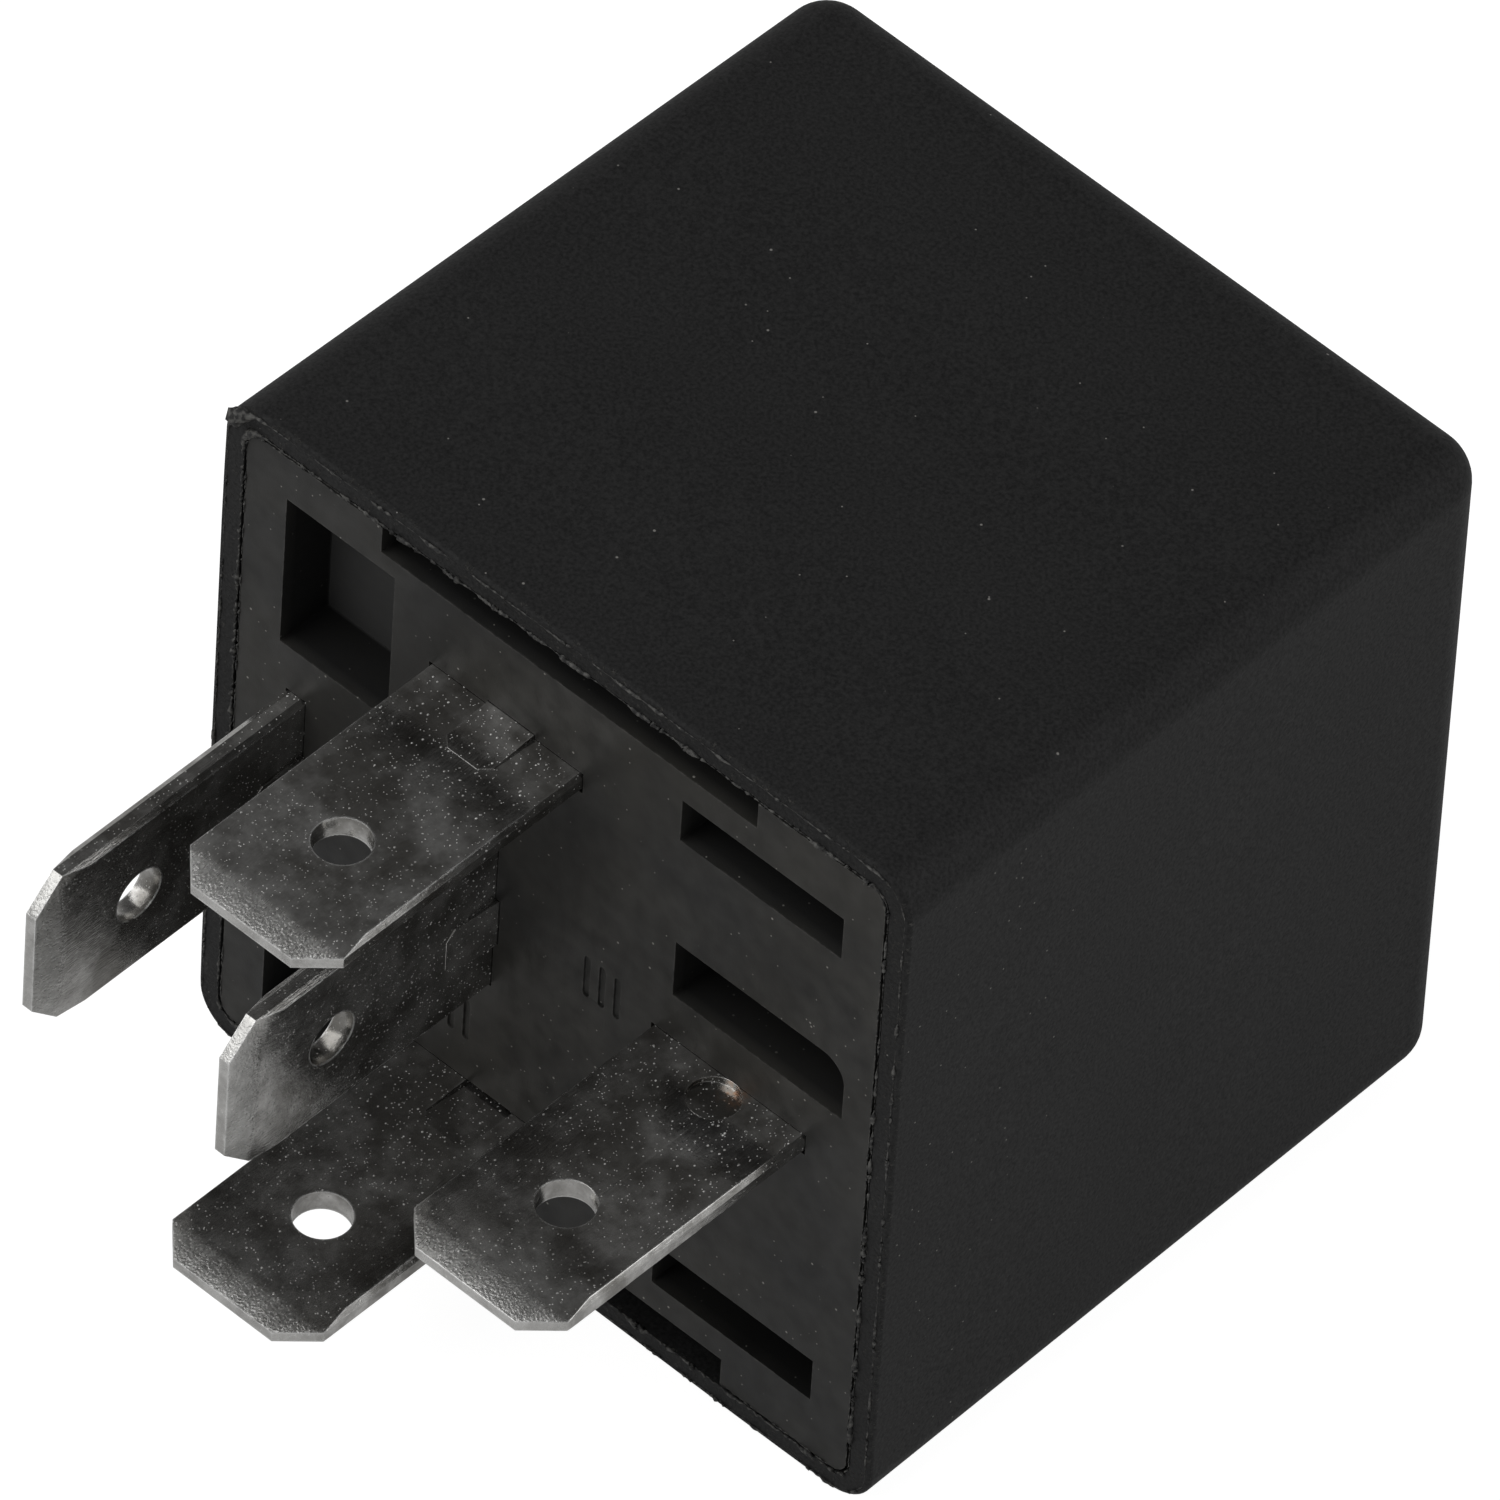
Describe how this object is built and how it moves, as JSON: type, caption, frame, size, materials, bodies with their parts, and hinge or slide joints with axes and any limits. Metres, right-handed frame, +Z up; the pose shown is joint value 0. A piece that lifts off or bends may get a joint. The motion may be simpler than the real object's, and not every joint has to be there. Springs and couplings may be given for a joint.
{
  "type": "plug in relay",
  "caption": "Small square plug-in relay: black case over a moulded base with flat blade terminals, an electromagnet and a hinged changeover contact inside.",
  "frame": {"origin": "centre of the base's mounting face, flush with the rim of the case", "axes": "-Y along the blades, out of the mounting face; +Y into the case; +Z up as the relay lies on its side; +X towards terminal 30"},
  "size_m": [0.028, 0.037, 0.028],
  "materials": {
    "case_plastic": "matt moulded black, fine grain",
    "base_plastic": "satin moulded black, slightly brown",
    "tin_plate": "tin plated brass, scratched from handling",
    "zinc_steel": "zinc plated soft iron",
    "rivet_metal": "plain brass",
    "bobbin_plastic": "natural glass-filled nylon",
    "copper_wire": "enamelled copper wire",
    "spring_copper": "rolled copper alloy strip",
    "contact_silver": "silver alloy",
    "braid_copper": "braided bare copper",
    "resistor_paint": "glossy lacquer",
    "lead_wire": "tinned wire",
    "solder": "dull solder"
  },
  "bodies": {
    "frame": {"base": "base_plastic", "terminal_30": "tin_plate", "terminal_87": "tin_plate", "terminal_87a": "tin_plate", "terminal_86": "tin_plate", "terminal_85": "tin_plate", "yoke": "zinc_steel", "yoke_rivets": "rivet_metal", "core": "zinc_steel", "bobbin": "bobbin_plastic", "coil_winding": "copper_wire", "coil_leads": "copper_wire", "spring_rivets": "rivet_metal", "working_contact": "contact_silver", "resting_contact": "contact_silver", "braid": "braid_copper", "resistor": "resistor_paint", "resistor_leads": "lead_wire", "solder_joints": "solder"},
    "armature": {"armature": "zinc_steel", "armature_rivets": "rivet_metal", "contact_spring": "spring_copper", "moving_contact": "contact_silver"},
    "cover": {"cover": "case_plastic"}
  },
  "joints": [
    {"name": "armature_hinge", "type": "hinge", "parent": "frame", "child": "armature", "pos_m": [0.0116, 0.01915, 0], "axis": [0, 0, 1], "range_deg": [0, 3], "stiffness_Nm_per_rad": 0.05, "springref_deg": -5.73, "deforming": ["contact_spring", "braid"]},
    {"name": "cover_slide", "type": "slide", "parent": "frame", "child": "cover", "axis": [0, 1, 0], "range_m": [0, 0.028]}
  ]
}
